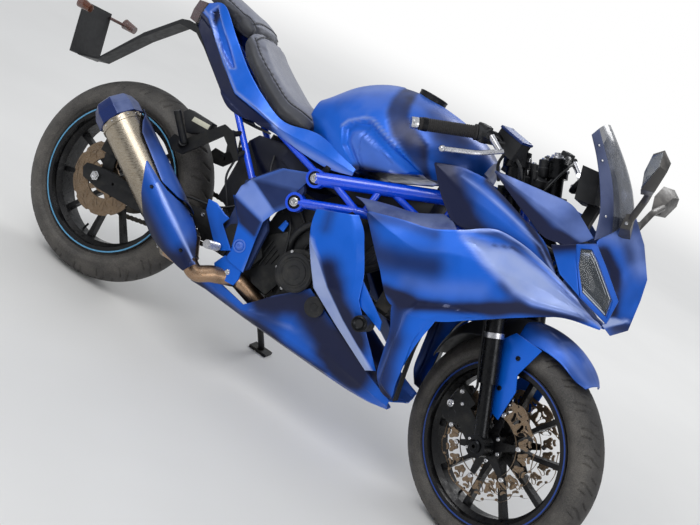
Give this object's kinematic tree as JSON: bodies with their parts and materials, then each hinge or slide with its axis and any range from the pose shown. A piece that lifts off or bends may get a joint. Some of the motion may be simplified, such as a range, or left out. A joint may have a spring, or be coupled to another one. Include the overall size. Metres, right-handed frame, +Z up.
{
  "type": "sport motorcycle",
  "caption": "Full-fairing sport motorcycle with trellis frame, leaning on its side stand, handlebar turned to the right; both wheels roll, the fork steers and the stand folds.",
  "frame": {"origin": "on the ground, under the centre of the bounding box of the parked machine", "axes": "+X forward along the machine, +Y to its left, +Z up from the ground"},
  "size_m": [2.0679, 0.8252, 1.2026],
  "materials": {
    "black": "moulded",
    "fairing": "painted",
    "hose": "braided rubber",
    "chain": "oiled",
    "engine": "painted casting",
    "cover": "painted casting",
    "pipe": "heat tinted",
    "filler": "machined",
    "fork": "anodised",
    "frame": "gloss paint",
    "slider": "turned",
    "caliper": "cast",
    "rim": "black painted casting",
    "rotor": "brushed",
    "sprocket": "machined",
    "tyre": "worn rubber",
    "tank": "satin paint",
    "grip": "ribbed",
    "lens": "clear",
    "lamp_amber": "clear amber",
    "lever": "cast",
    "mirror": "moulded",
    "can": "brushed",
    "cap": "satin paint",
    "guard": "satin paint",
    "steel": "powder coat",
    "peg": "anodised",
    "seat": "vinyl",
    "plate": "satin paint",
    "radiator": "finned",
    "shock": "satin",
    "carrier": "anodised",
    "frame_dark": "satin paint",
    "switch": "moulded",
    "lamp_red": "clear red",
    "screen": "smoked"
  },
  "bodies": {
    "chassis": {"air_ducts": "black", "belly_pan": "fairing", "chain": "chain", "dash": "black", "engine": "engine", "engine_covers": "cover", "exhaust_pipe": "pipe", "filler_cap": "filler", "frame": "frame", "frame_sliders": "slider", "front_sprocket": "sprocket", "fuel_tank": "tank", "headlights": "lens", "indicators": "lamp_amber", "mid_panels": "fairing", "mirrors": "mirror", "muffler_can": "can", "muffler_cap": "cap", "muffler_collar": "pipe", "muffler_guard": "guard", "nose_cowl": "fairing", "nose_sides": "fairing", "nose_stay": "steel", "pillion_pegs": "peg", "pillion_seat": "seat", "pivot_plates": "plate", "plate_hanger": "black", "radiator": "radiator", "rear_caliper": "caliper", "rear_shock": "shock", "rider_pegs": "peg", "rider_seat": "seat", "side_fairings": "fairing", "stand_bracket": "steel", "stays": "steel", "swingarm": "frame_dark", "tail_light": "lamp_red", "tail_panels": "fairing", "undertray": "black", "windscreen": "screen"},
    "steering": {"fork_legs": "fork", "fork_yokes": "fork", "handlebars": "fork", "grips": "grip", "switchgear": "switch", "levers": "lever", "front_calipers": "caliper", "front_fender": "fairing", "brake_hoses": "hose"},
    "front_wheel": {"front_tyre": "tyre", "front_rim": "rim", "front_rotors": "rotor", "rotor_carriers": "carrier"},
    "rear_wheel": {"rear_tyre": "tyre", "rear_rim": "rim", "rear_rotor": "rotor", "rear_sprocket": "sprocket"},
    "side_stand": {"side_stand": "steel"}
  },
  "joints": [
    {"name": "steering_turn", "type": "hinge", "parent": "chassis", "child": "steering", "pos_m": [0.55809, -0.07473, 0.62906], "axis": [-0.4133, 0.1815, 0.8923], "range_deg": [0, 45.2]},
    {"name": "front_wheel_spin", "type": "hinge", "parent": "steering", "child": "front_wheel", "pos_m": [0.74921, -0.15616, 0.2999], "axis": [0.3499, 0.9363, -0.0284], "continuous": true},
    {"name": "rear_wheel_spin", "type": "hinge", "parent": "chassis", "child": "rear_wheel", "pos_m": [-0.65823, -0.14018, 0.30734], "axis": [0, 0.9799, -0.1994], "continuous": true},
    {"name": "side_stand_fold", "type": "hinge", "parent": "chassis", "child": "side_stand", "pos_m": [-0.11007, -0.04737, 0.20177], "axis": [-0.0013, 0.8454, 0.5341], "range_deg": [0, 95]}
  ]
}
